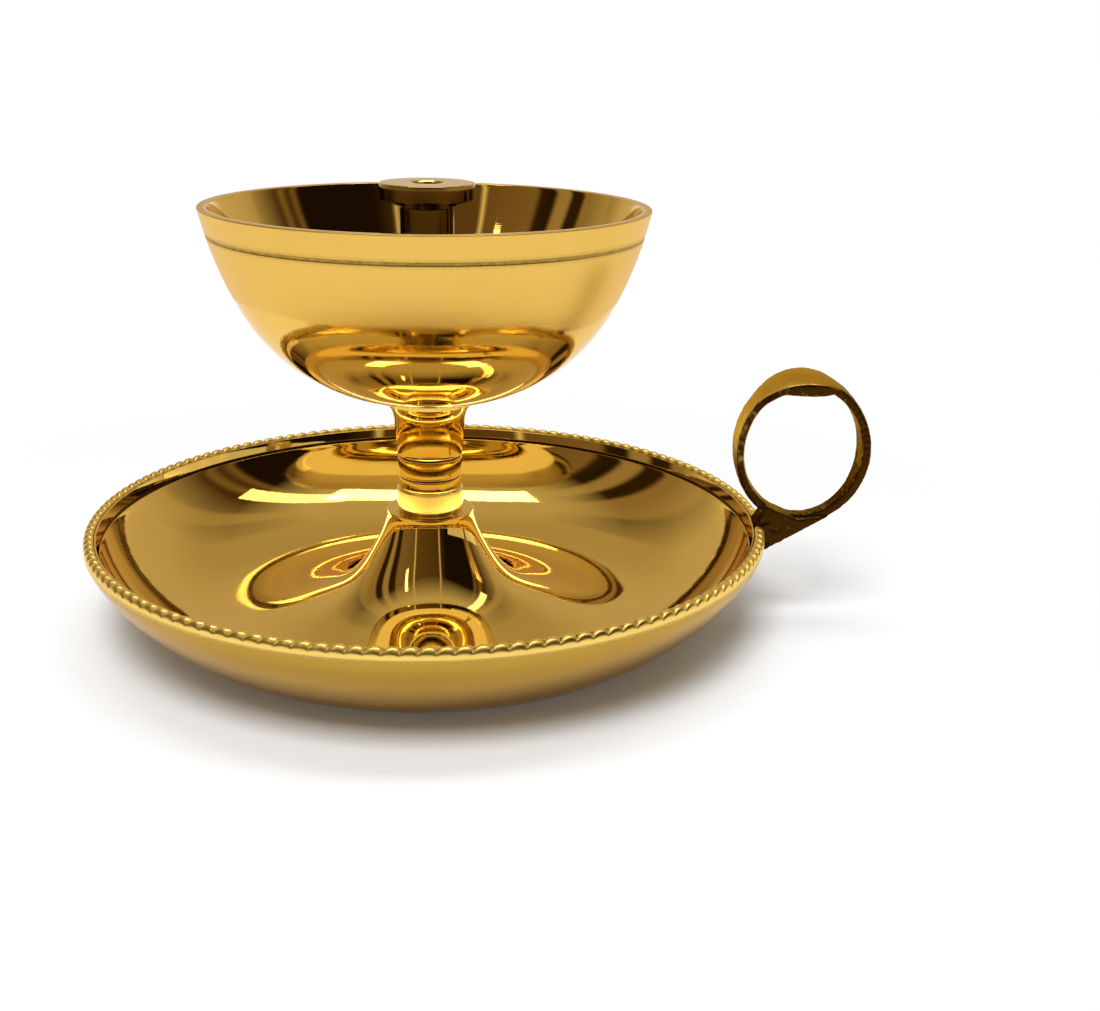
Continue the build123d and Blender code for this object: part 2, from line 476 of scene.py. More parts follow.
class Effects:
    """Shader node groups that several finishes share."""

    def __init__(self) -> None:
        """Build each group once."""
        self.turning = self.turning_lines()
        self.tone = self.brass_tone()
        self.haze = self.polish_haze()

    @staticmethod
    def group(name: str, inputs: dict[str, float | Colour], output: str, kind: str) -> tuple:
        """Start a group with named sockets.

        Args:
            name: the group's name.
            inputs: socket name to default value; a tuple is a colour.
            output: name of the one output.
            kind: socket type of the output.

        Returns:
            The wiring of the group, the sockets of its input node and the one socket of its output node.
        """
        tree = bpy.data.node_groups.new(name, "ShaderNodeTree")
        for label, value in inputs.items():
            colour = isinstance(value, tuple)
            socket_type = "NodeSocketColor" if colour else "NodeSocketFloat"
            socket = tree.interface.new_socket(label, in_out="INPUT", socket_type=socket_type)
            socket.default_value = (*value, 1.0) if colour else value
        tree.interface.new_socket(output, in_out="OUTPUT", socket_type=kind)
        given = tree.nodes.new("NodeGroupInput").outputs
        return Wiring(tree), given, tree.nodes.new("NodeGroupOutput").inputs[0]

    def turning_lines(self) -> Tree:
        """Height of the fine lathe lines, with a slow hand-polished wobble.

        Returns:
            The group.
        """
        sockets = {"Lines": 1.0, "Wobble": 1.0}
        wires, given, result = self.group("turning_lines", sockets, "Height", "NodeSocketFloat")
        around = wires.around_axis()
        fine = wires.noise(around, 5200.0, 2.0)
        broad = wires.noise(around, 900.0, 1.0)
        slow = wires.noise(wires.here(), 55.0, 1.0)
        lines = wires.math("ADD", fine, wires.math("MULTIPLY", broad, 1.6))
        lines = wires.math("MULTIPLY", lines, given["Lines"])
        wobble = wires.math("MULTIPLY", slow, given["Wobble"])
        wires.join(wires.math("ADD", lines, wobble), result)
        return wires.tree

    def brass_tone(self) -> Tree:
        """Brass colour with slow warmer patches, darkened where the recess mark is high: painted shade in
        grooves and hollows, soot in the bore and at the ring's root, and darker stretches on the ring.

        Returns:
            The group.
        """
        sockets = {
            "Brass": (0.8, 0.48, 0.115), "Warm": (0.7, 0.38, 0.07), "ShadeAndSoot": (0.05, 0.025, 0.008),
            "Patches": 0.5, "Depth": 1.0,
        }
        wires, given, result = self.group("brass_tone", sockets, "Colour", "NodeSocketColor")
        here = wires.here()
        cloud = wires.ramp(wires.noise(here, 90.0, 4.0), 0.42, 0.72)
        share = wires.math("MULTIPLY", cloud, given["Patches"])
        patch = wires.mix(share, given["Brass"], given["Warm"])
        grain = wires.ramp(wires.noise(here, 1400.0, 3.0), 0.25, 0.7)
        # Painted shade and soot: the recess mark, with fine grain, mixes in the dark colour.
        shade_soot_share = wires.math("MULTIPLY", wires.mark("recess"), wires.math("ADD", grain, 0.8))
        shade_soot_share = wires.math("MULTIPLY", shade_soot_share, given["Depth"])
        shade_soot_share = wires.node("ShaderNodeClamp", "Result", {"Value": shade_soot_share})
        wires.join(wires.mix(shade_soot_share, patch, given["ShadeAndSoot"]), result)
        return wires.tree

    def polish_haze(self) -> Tree:
        """Roughness of a hand polish: a base value, cloudy haze, dull recesses and satin stretches.

        Returns:
            The group.
        """
        sockets = {"Gloss": 0.08, "Haze": 0.08, "Dull": 0.4, "Satin": 0.2}
        wires, given, result = self.group("polish_haze", sockets, "Roughness", "NodeSocketFloat")
        cloud = wires.ramp(wires.noise(wires.here(), 70.0, 5.0), 0.4, 0.75)
        around = wires.ramp(wires.noise(wires.around_axis(), 1500.0, 2.0), 0.45, 0.75)
        both = wires.math("ADD", cloud, wires.math("MULTIPLY", around, 0.5))
        haze = wires.math("MULTIPLY", both, given["Haze"])
        dull = wires.math("MULTIPLY", wires.mark("recess"), given["Dull"])
        brushed = wires.math("MULTIPLY", wires.mark("satin"), given["Satin"])
        total = given["Gloss"]
        for part in (haze, dull, brushed):
            total = wires.math("ADD", total, part)
        wires.join(total, result)
        return wires.tree


@dataclass(frozen=True)
class BrassFinish:
    """One way that the brass is finished.

    Edge is the tint at grazing angles, mirrored how much paler the brass is where other brass mirrors it, and
    the bump is in metres.
    """

    name: str
    brass: Colour = (0.86, 0.545, 0.115)
    warm: Colour = (0.82, 0.50, 0.095)
    # Dark colour that the recess mark mixes in: painted shade in grooves and hollows, and soot.
    shade_and_soot: Colour = (0.045, 0.022, 0.006)
    edge: Colour = (1.0, 0.9, 0.75)
    mirrored: float = 0.64
    patches: float = 0.5
    depth: float = 1.0
    gloss: float = 0.025
    haze: float = 0.03
    dull: float = 0.4
    satin: float = 0.3
    lines: float = 1.0
    wobble: float = 40.0
    bump: float = 0.0000012

    def material(self, effects: Effects) -> bpy.types.Material:
        """Make the material.

        Args:
            effects: the shared node groups.

        Returns:
            The material.
        """
        made = bpy.data.materials.new(self.name)
        made.use_nodes = True
        tree = made.node_tree
        shader = tree.nodes["Principled BSDF"].inputs
        shader["Metallic"].default_value = 1.0
        shader["Specular Tint"].default_value = (*self.edge, 1.0)
        tone = {"Brass": self.brass, "Warm": self.warm, "ShadeAndSoot": self.shade_and_soot,
                "Patches": self.patches, "Depth": self.depth}
        haze = {"Gloss": self.gloss, "Haze": self.haze, "Dull": self.dull, "Satin": self.satin}
        turning = {"Lines": self.lines, "Wobble": self.wobble}
        wires = Wiring(tree)
        glossy = tree.nodes.new("ShaderNodeLightPath").outputs["Is Glossy Ray"]
        paler = wires.math("SUBTRACT", 1.0, wires.math("MULTIPLY", glossy, self.mirrored))
        colour = wires.node("ShaderNodeGroup", 0, tone, node_tree=effects.tone)
        colour = wires.node("ShaderNodeGamma", "Color", {"Color": colour, "Gamma": paler})
        roughness = wires.node("ShaderNodeGroup", 0, haze, node_tree=effects.haze)
        height = wires.node("ShaderNodeGroup", 0, turning, node_tree=effects.turning)
        normal = wires.node("ShaderNodeBump", "Normal", {"Height": height, "Distance": self.bump})
        for label, value in (("Base Color", colour), ("Roughness", roughness), ("Normal", normal)):
            wires.join(value, shader[label])
        return made


MIRROR = BrassFinish("mirror_brass")
BOWL = BrassFinish("bowl_brass", lines=3.0, wobble=90.0)
# The outside's much darker brass is painted shade, standing for the shaded floor that it mirrors; its higher
# gloss value is the satin.
SATIN_SHADED = BrassFinish("satin_shaded_outside_brass", brass=(0.5, 0.295, 0.045), warm=(0.45, 0.26, 0.038),
                    gloss=0.14, haze=0.1)
DARKENED = BrassFinish("darkened_brass", brass=(0.17, 0.088, 0.013), warm=(0.09, 0.045, 0.008),
                      patches=1.0, gloss=0.07)
# The rope's lighter brass is painted light: it lifts strands that mirror dark surroundings.
ROPE = BrassFinish("rope_brass", brass=(0.94, 0.65, 0.16), warm=(0.9, 0.6, 0.13),
                   gloss=0.28, haze=0.08, depth=0.4, lines=0.0)
BRIGHT = BrassFinish("bright_turned_brass", brass=(0.90, 0.64, 0.17), warm=(0.85, 0.57, 0.13),
                     gloss=0.22, haze=0.1, lines=6.0)
CAST = BrassFinish("cast_brass", brass=(0.9, 0.6, 0.16), warm=(0.68, 0.39, 0.08),
                   shade_and_soot=(0.062, 0.024, 0.003), edge=(0.7, 0.48, 0.2), patches=1.0,
                   gloss=0.3, haze=0.14, dull=0.12, lines=0.0, wobble=0.0)


@dataclass
class DripDish:
    """Drip dish on its trumpet foot, with the rope edging soldered round its rim."""

    rim_radius: float = 56.1
    rim_height: float = 18.25
    base_radius: float = 37.2
    wall_power: float = 1.38
    channel_inset: float = 5.7
    floor: float = 1.1
    well_slope: float = 68.0
    rim_overhang: float = 0.1
    lip_drop: float = 0.6
    lip_thickness: float = 0.3
    band_height: float = 1.7
    band_lean: float = 0.45
    groove_width: float = 0.5
    groove_depth: float = 0.4
    ledge_radius: float = 7.25
    ledge_height: float = 18.95
    boss_depth: float = 6.6
    hollow_mouth: float = 23.0
    hollow_top_radius: float = 6.6
    tapped_radius: float = 3.05
    film: float = 0.05
    rope_width: float = 1.6
    rope_height: float = 1.8
    rope_shoulder: float = 1.25
    rope_flank: float = 0.75
    rope_groove: float = 0.6
    rope_slant: float = 22.0
    rope_beads: int = 142
    rope_gap: float = 6.4
    strand_steps: int = 14
    strand_across: int = 15
    strand_round: float = 0.94
    strand_fade: float = 0.4
    strand_shade: float = 2.2
    corner: float = 0.12
    step: float = 0.9

    WELL: ClassVar[tuple[Point, ...]] = ((0.483, 0.18),)
    FLARE: ClassVar[tuple[Point, ...]] = ((0.55, 0.114), (0.30, 0.286), (0.12, 0.574))
    HOLLOW: ClassVar[tuple[Point, ...]] = ((0.6, 0.2), (0.19, 0.58))

    @property
    def wall_bend(self) -> float:
        """Power of the sine and cosine in the wall's curve."""
        return 2 / self.wall_power

    @property
    def wall_reach(self) -> float:
        """How far the wall flares from its foot to the rope's seat."""
        return self.rim_radius - self.rim_overhang - self.base_radius

    @property
    def seat(self) -> float:
        """Height of the rope's seat."""
        return self.rim_height - self.rope_height

    @property
    def lip(self) -> float:
        """Height of the thin lip inside the rope."""
        return self.rim_height - self.lip_drop

    @property
    def upstand(self) -> float:
        """Outer radius of the lip."""
        return self.rim_radius - self.rope_width - self.film

    @property
    def band_foot(self) -> Point:
        """Lower edge of the smooth band inside the rim."""
        return self.upstand - self.lip_thickness - self.band_lean, self.lip - self.band_height

    def wall(self) -> list[Point]:
        """Outside of the dish, from its foot to the rope's seat.

        Returns:
            The points in order.
        """
        points = []
        for turn in np.radians(np.linspace(0, 90, 48)):
            out = self.wall_reach * math.sin(turn) ** self.wall_bend
            rise = 1 - max(0.0, math.cos(turn)) ** self.wall_bend
            points.append((self.base_radius + out, self.seat * rise))
        return points

    def profile(self) -> list[Point]:
        """Closed section of the dish.

        Returns:
            The points in order.
        """
        lip_inner = self.upstand - self.lip_thickness
        groove_back = self.band_foot[0] + self.groove_depth
        channel = (self.base_radius - self.channel_inset, self.floor)
        well_top = (self.band_foot[0], self.band_foot[1] - self.groove_width)
        flare_high = (self.ledge_radius, self.ledge_height)
        hollow_top = self.ledge_height - self.boss_depth
        hollow_low = (self.hollow_mouth, 0.0)
        hollow_high = (self.hollow_top_radius, hollow_top)
        slope = math.radians(self.well_slope)
        well = clamped_spline([channel, *between(channel, well_top, self.WELL), well_top],
                              (1, 0), (math.cos(slope), math.sin(slope)), 48)
        flare = clamped_spline([channel, *between(channel, flare_high, self.FLARE), flare_high],
                               (-1, 0), (-0.05, 1), 60)
        hollow = clamped_spline([hollow_low, *between(hollow_low, hollow_high, self.HOLLOW), hollow_high],
                                (-1, 0.25), (-0.1, 1), 30)
        points = self.wall() + [
            (self.upstand, self.seat), (self.upstand, self.lip), (lip_inner, self.lip), self.band_foot,
            (groove_back, self.band_foot[1]), (groove_back, well_top[1]),
        ]
        points += well[::-1] + flare[1:]
        points += [(self.tapped_radius, self.ledge_height), (self.tapped_radius, hollow_top)]
        points += hollow[::-1]
        return fill_in(soften(points, self.corner, True), self.step, True)

    def groove(self, radius: float, height: float) -> float:
        """Recess of a point: 1 in the groove under the rim's band and in the rope's rebate, which paints
        shade there.

        Args:
            radius: the point's distance from the axis.
            height: the point's height.

        Returns:
            The recess mark, from 0 to 1, that paints shade.
        """
        foot_radius, foot = self.band_foot
        at_height = foot - self.groove_width < height < foot
        in_groove = at_height and foot_radius + 0.04 < radius < foot_radius + 1.0
        in_rebate = self.upstand - 0.05 < radius < self.rim_radius - 0.5 and height > self.seat - 0.05
        return 1.0 if in_groove or in_rebate else 0.0

    def outside(self, radius: float, height: float) -> bool:
        """Whether a point is on the outside of the wall.

        Args:
            radius: the point's distance from the axis.
            height: the point's height.

        Returns:
            True on the outside.
        """
        out = min(1.0, max(0.0, (radius - self.base_radius) / self.wall_reach))
        sine = out ** (1 / self.wall_bend)
        wall = self.seat * (1 - math.sqrt(1 - sine ** 2) ** self.wall_bend)
        return radius > self.base_radius and height < min(self.seat - 0.02, wall + 0.4)

    def under(self, radius: float, height: float) -> float:
        """Satin of a point: the rest face and the hollow of the foot are only turned, not polished."""
        return 1.0 if height < 0.02 or radius < self.hollow_mouth and height < self.floor else 0.0

    def rope(self) -> bpy.types.Object:
        """Rope wire with round slanted strands that run out into the dish's wall, with painted shade in the
        valleys between strands.

        Returns:
            The rope object with its recess attribute, which paints shade in the valleys and along its inner
            foot.
        """
        along = self.strand_steps * self.rope_beads
        middle = self.rim_radius - self.rope_width / 2
        run = middle * math.cos(math.radians(self.rope_slant))
        inner = math.sqrt(run ** 2 + (middle - self.rope_width / 2) ** 2 - middle ** 2) - run
        outer = math.sqrt(run ** 2 + self.rim_radius ** 2 - middle ** 2) - run
        across = np.linspace(0, 1, self.strand_across)
        reach = inner + (outer - inner) * (1 - np.cos(math.pi * across)) / 2
        ends = self.rope_shoulder + (self.rope_flank - self.rope_shoulder) * across
        crown = self.rope_height - (self.rope_shoulder + self.rope_flank) / 2
        top = ends + crown * np.sin(math.pi * across)
        fade = np.cos(math.pi / 2 * np.clip((across - self.strand_fade) / (1 - self.strand_fade), 0, 1))
        deepest = 1 - math.sqrt(1 - self.strand_round)
        around = len(across) + 2
        vertices = []
        depth = []
        for i in range(along + 1):
            share = i / along
            azimuth = math.radians(self.rope_gap / 2 + (360 - self.rope_gap) * share)
            slanted = azimuth - math.radians(self.rope_slant)
            strand = (self.rope_beads * share) % 1.0 - 0.5
            sink = (1 - math.sqrt(1 - self.strand_round * (2 * strand) ** 2)) / deepest
            height = np.concatenate([[0.0], top - self.rope_groove * sink * fade, [-self.corner]])
            step = np.concatenate([[inner], reach, [outer]])
            vertices.append(np.stack([
                middle * math.cos(azimuth) + step * math.cos(slanted),
                middle * math.sin(azimuth) + step * math.sin(slanted),
                self.seat + height,
            ], axis=1))
            # Painted shade: dark along the inner foot and in the valleys between strands, fading outwards.
            depth.append(np.concatenate([[1.0], sink ** self.strand_shade * fade, [0.0]]))
        faces = tube_faces(along + 1, around, False)
        faces.append(tuple(range(around)))
        faces.append(tuple(along * around + j for j in range(around)))
        rope = link_mesh("rope_edging_wire", np.concatenate(vertices), faces)
        store(rope, "recess", np.concatenate(depth))
        return rope

    def build(self, effects: Effects) -> None:
        """Make the dish and its edging.

        Args:
            effects: the shared node groups.
        """
        dish = turned_piece("drip_dish", self.profile(), True, {"recess": self.groove, "satin": self.under})
        place(dish, Body.BASE, Slot.POLISHED, "dish", MIRROR.material(effects))
        # The wall's outside takes the satin brass with painted shade.
        second_finish(dish, SATIN_SHADED.material(effects), self.outside)
        place(self.rope(), Body.BASE, Slot.ROPE, "rope_edging", ROPE.material(effects))


@dataclass
class FingerRing:
    """Cast finger ring with its thumb pad, web and brazed root."""

    centre_x: float = 61.6
    centre_z: float = 30.75
    half_width: float = 11.1
    half_height: float = 12.6
    thickness: float = 1.55
    band_width: float = 6.5
    foot_width: float = 2.8
    pad_length: float = 11.4
    pad_near: float = 1.5
    pad_thickness: float = 2.3
    pad_width: float = 12.4
    pad_merge: float = 2.2
    web_width: float = 4.0
    tang_x: float = 54.5
    tang_low: float = 16.45
    tang_height: float = 1.6
    wall_top: float = 55.6
    web_foot: Point = (52.65, 11.15)
    web_run: float = 14.15
    web_rise: float = 8.5
    steps: int = 180
    facets: int = 24
    voxel: float = 0.16
    smoothing: int = 4
    grain: float = 0.05
    pits: float = 0.04
    file_marks: float = 62.0
    file_depth: float = 0.12
    lumps: float = 0.32
    root_reach: Point = (2.0, 6.0)
    root_soot: float = 1.6
    low_darkening: float = 0.5
    far_darkening: float = 0.65
    side_darkening: float = 0.7
    pad_side_darkening: float = 0.5

    def band(self) -> tuple[np.ndarray, Faces]:
        """Swept oval band that tapers to its foot and widens into the pad, more slowly near the dish.

        Returns:
            Vertices in millimetres and faces.
        """
        a = self.half_width - self.thickness / 2
        b = self.half_height - self.thickness / 2
        thick = self.thickness / 2
        under_pad = self.centre_z + self.half_height - self.pad_thickness
        merge = self.pad_merge
        vertices = []
        for turn in np.linspace(0, 2 * math.pi, self.steps, endpoint=False):
            x = a * math.cos(turn)
            z = b * math.sin(turn)
            normal = np.array([math.cos(turn) / a, 0, math.sin(turn) / b])
            normal /= np.linalg.norm(normal)
            length = self.pad_length / 2 * (self.pad_near if x < 0 else 1.0)
            share = 1 - (x / length) ** 2
            oval = self.pad_width / 2 * math.sqrt(share) if share > 0 and z > 0 else 0.0
            plain = (self.foot_width + (self.band_width - self.foot_width) * min(1.0, 1 + z / b)) / 2
            half = math.log(math.exp(merge * plain) + math.exp(merge * oval)) / merge - 0.1
            half = min(half, self.pad_width / 2)
            centre = np.array([self.centre_x + x, 0, self.centre_z + z])
            for corner in range(self.facets):
                angle = 2 * math.pi * corner / self.facets
                side = math.copysign(abs(math.cos(angle)) ** 0.25, math.cos(angle)) * half
                out = math.copysign(abs(math.sin(angle)) ** 0.5, math.sin(angle)) * thick
                corner_at = centre + normal * out + np.array([0, side, 0])
                if out < 0:
                    corner_at[2] = min(corner_at[2], under_pad)
                vertices.append(corner_at)
        return np.array(vertices), tube_faces(self.steps, self.facets, True)

    def web(self) -> tuple[np.ndarray, Faces]:
        """Web and tang between the band and the dish's rim.

        Returns:
            Vertices in millimetres and faces.
        """
        bottom = self.centre_z - self.half_height
        far_x = self.web_foot[0] + self.web_run
        outline = [
            (self.wall_top, self.tang_low), (self.tang_x, self.tang_low),
            (self.tang_x, self.tang_low + self.tang_height),
            (self.centre_x - self.half_width / 2, bottom + 2 * self.thickness),
            (self.centre_x, bottom + self.thickness / 2),
            (far_x, self.web_foot[1] + self.web_rise), self.web_foot,
        ]
        half = self.web_width / 2
        count = len(outline)
        vertices = [(x, -half, z) for x, z in outline] + [(x, half, z) for x, z in outline]
        faces = [tuple(range(count)), tuple(range(2 * count - 1, count - 1, -1))]
        faces += [(i, (i + 1) % count, count + (i + 1) % count, count + i) for i in range(count)]
        return np.array(vertices), faces

    def roughness(self, here: Vector) -> float:
        """Height of the cast grain, the file marks on the far side and the braze lumps at the root.

        Args:
            here: a point of the surface.

        Returns:
            How far the point moves outwards.
        """
        turn = math.atan2(here.z - self.centre_z, here.x - self.centre_x)
        side = smooth_step(abs(here.y), self.band_width / 2 - 0.7, self.band_width / 2 - 0.2)
        far = smooth_step(math.cos(turn - 0.1), 0.55, 0.9)
        marks = max(0.0, math.sin(turn * self.file_marks + 2.5 * noise.noise(here * 0.35))) ** 3 * far * side
        grain = noise.noise(here * 0.8) * self.grain + noise.noise(here * 2.6) * self.pits
        lumps = noise.noise(here * 1.3 + Vector((7, 3, 1))) * self.lumps * self.root(here)
        return grain - self.file_depth * marks + lumps

    def root(self, here: Vector) -> float:
        """How near a point is to the brazed root, from 0 to 1."""
        away = Vector((here.x - self.tang_x - 1.2, here.y, here.z - self.tang_low + 1.5)).length
        return 1 - smooth_step(away, *self.root_reach)

    def darkness(self, here: Vector, normal: Vector) -> float:
        """Soot at the root, and darker towards the bottom, on the far side and on the flat sides.

        Args:
            here: a point of the surface.
            normal: the surface's direction there.

        Returns:
            The recess mark, from 0 to 1.
        """
        pad = smooth_step(here.z, self.centre_z + 6, self.centre_z + 9)
        sawn = smooth_step(abs(normal.y), 0.5, 0.85) * (self.side_darkening + self.pad_side_darkening * pad)
        low = 1 - smooth_step(here.z, self.centre_z - self.half_height, self.centre_z + 4)
        far = smooth_step(here.x, self.centre_x, self.centre_x + self.half_width)
        blotch = 0.85 + 0.4 * noise.noise(here * 0.45)
        # Soot at the root, plus darkening towards the bottom.
        soot = self.root_soot * self.root(here) + self.low_darkening * low
        return min(1.0, soot + (self.far_darkening * far + sawn) * blotch)

    def build(self, effects: Effects) -> None:
        """Make the ring as one casting.

        Args:
            effects: the shared node groups.
        """
        vertices, faces = self.band()
        web_vertices, web_faces = self.web()
        faces += [tuple(len(vertices) + i for i in face) for face in web_faces]
        # The voxel tool works on a ring of a thousand times its size.
        rough = link_mesh("finger_ring_rough", np.concatenate([vertices, web_vertices]), faces, 1.0)
        remesh = rough.modifiers.new("cast", "REMESH")
        remesh.mode = "VOXEL"
        remesh.voxel_size = self.voxel
        mesh = worked(rough, "finger_ring_casting")
        work = bmesh.new()
        work.from_mesh(mesh)
        axes = {"use_axis_x": True, "use_axis_y": True, "use_axis_z": True}
        for _ in range(self.smoothing):
            bmesh.ops.smooth_vert(work, verts=work.verts, factor=0.5, **axes)
        work.normal_update()
        soot = []
        for vertex in work.verts:
            here = vertex.co.copy()
            vertex.co = (here + vertex.normal * self.roughness(here)) * MM
            soot.append(self.darkness(here, vertex.normal))
        work.to_mesh(mesh)
        work.free()
        mesh.shade_smooth()
        ring = link_piece(mesh)
        store(ring, "recess", np.array(soot))
        place(ring, Body.BASE, Slot.CAST, "finger_ring", CAST.material(effects))


@dataclass
class Stem:
    """Turned stem on its bright collar."""

    ledge_height: float = 18.95
    thread_radius: float = 3.0
    thread_depth: float = 6.0
    thread_pitch: float = 1.0
    thread_root: float = 0.5
    collar_radius: float = 5.53
    collar_height: float = 3.9
    collar_bore: float = 3.15
    collar_edge: float = 0.25
    collar_corner: float = 0.08
    foot_radius: float = 5.13
    foot_height: float = 1.9
    ring_radius: float = 5.32
    ring_height: float = 3.2
    groove_width: float = 0.3
    groove_depth: float = 0.3
    barrel_low: float = 5.35
    barrel_top: float = 5.9
    flange_radius: float = 7.2
    flange_drop: float = 3.2
    bowl_bottom: float = 38.15
    bowl_flat: float = 4.1
    bowl_arc: float = 29.1
    bowl_floor: float = 2.2
    tenon_radius: float = 4.0
    peen_radius: float = 5.2
    peen_height: float = 0.7
    socket_radius: float = 2.6
    socket_depth: float = 8.0
    corner: float = 0.1
    step: float = 0.5

    def collar_profile(self) -> list[Point]:
        """Closed section of the collar.

        Returns:
            The points in order.
        """
        low = self.ledge_height
        top = low + self.collar_height
        edge = self.collar_edge
        points = [
            (self.collar_bore, low), (self.collar_radius - edge, low), (self.collar_radius, low + edge),
            (self.collar_radius, top - edge), (self.collar_radius - edge, top), (self.collar_bore, top),
        ]
        return fill_in(soften(points, self.collar_corner, True), self.step, True)

    def profile(self) -> list[Point]:
        """Open section of the stem, from the spigot's end to the socket's floor.

        Returns:
            The points in order.
        """
        collar_top = self.ledge_height + self.collar_height
        foot_top = collar_top + self.foot_height
        ring_low = foot_top + self.groove_width
        ring_top = ring_low + self.ring_height
        barrel_low = ring_top + self.groove_width
        barrel_top = self.bowl_bottom - self.flange_drop
        flange_low = self.bowl_bottom - self.flange_drop / 4
        arc_height = self.bowl_bottom + self.bowl_arc
        seat_turn = math.degrees(math.asin((self.flange_radius - self.bowl_flat) / self.bowl_arc))
        seat = arc_points((self.bowl_flat, arc_height), self.bowl_arc, 270 + seat_turn, 270, 8)
        inner = self.bowl_arc - self.bowl_floor
        peen_low = arc_height - math.sqrt(inner ** 2 - (self.peen_radius - self.bowl_flat) ** 2)
        peen_top = peen_low + self.peen_height
        lean = np.array([self.barrel_top - self.barrel_low, barrel_top - barrel_low])
        lean /= np.hypot(*lean)
        bottom = self.ledge_height - self.thread_depth
        thread = self.thread_radius
        foot = self.foot_radius
        ring = self.ring_radius
        points = [(0.0, bottom), (thread - self.thread_root, bottom)]
        for k in range(int(self.thread_depth / self.thread_pitch)):
            low = bottom + 0.25 + k * self.thread_pitch * 0.95
            points += [(thread - self.thread_root, low), (thread, low + 0.45 * self.thread_pitch)]
        points += [
            (thread - 0.45, self.ledge_height + 0.2), (thread - 0.05, self.ledge_height + 0.5),
            (thread - 0.05, collar_top), (foot, collar_top), (foot, foot_top),
            (foot - self.groove_depth, foot_top), (foot - self.groove_depth, ring_low),
            (ring, ring_low), (ring, ring_top),
            (ring - self.groove_depth, ring_top), (ring - self.groove_depth, barrel_low),
            (self.barrel_low, barrel_low),
        ]
        barrel_end = (self.barrel_top, barrel_top)
        points += tangent_arc(barrel_end, (self.flange_radius, flange_low), tuple(lean), 14)
        points += seat
        points += [
            (self.tenon_radius, self.bowl_bottom), (self.tenon_radius, peen_low),
            (self.peen_radius, peen_low), (self.peen_radius, peen_top), (self.socket_radius, peen_top),
            (self.socket_radius, peen_top - self.socket_depth), (0.0, peen_top - self.socket_depth),
        ]
        return fill_in(soften(points, self.corner, False), self.step, False)

    def groove(self, radius: float, height: float) -> float:
        """Recess of a point: 1 in the two turned grooves.

        Args:
            radius: the point's distance from the axis.
            height: the point's height.

        Returns:
            The recess mark, from 0 to 1.
        """
        foot_top = self.ledge_height + self.collar_height + self.foot_height
        ring_top = foot_top + self.groove_width + self.ring_height
        low_groove = foot_top - 0.02 < height < foot_top + self.groove_width + 0.02
        high_groove = ring_top - 0.02 < height < ring_top + self.groove_width + 0.02
        return 1.0 if (low_groove or high_groove) and radius < self.ring_radius - 0.1 else 0.0

    def build(self, effects: Effects) -> None:
        """Make the collar and the stem.

        Args:
            effects: the shared node groups.
        """
        collar = turned_piece("stem_collar_ring", self.collar_profile(), True, {})
        place(collar, Body.COLLAR, Slot.TURNED, "stem_collar", BRIGHT.material(effects))
        stem = turned_piece("stem_barrel", self.profile(), False, {"recess": self.groove})
        place(stem, Body.BOWL, Slot.POLISHED, "stem", MIRROR.material(effects))


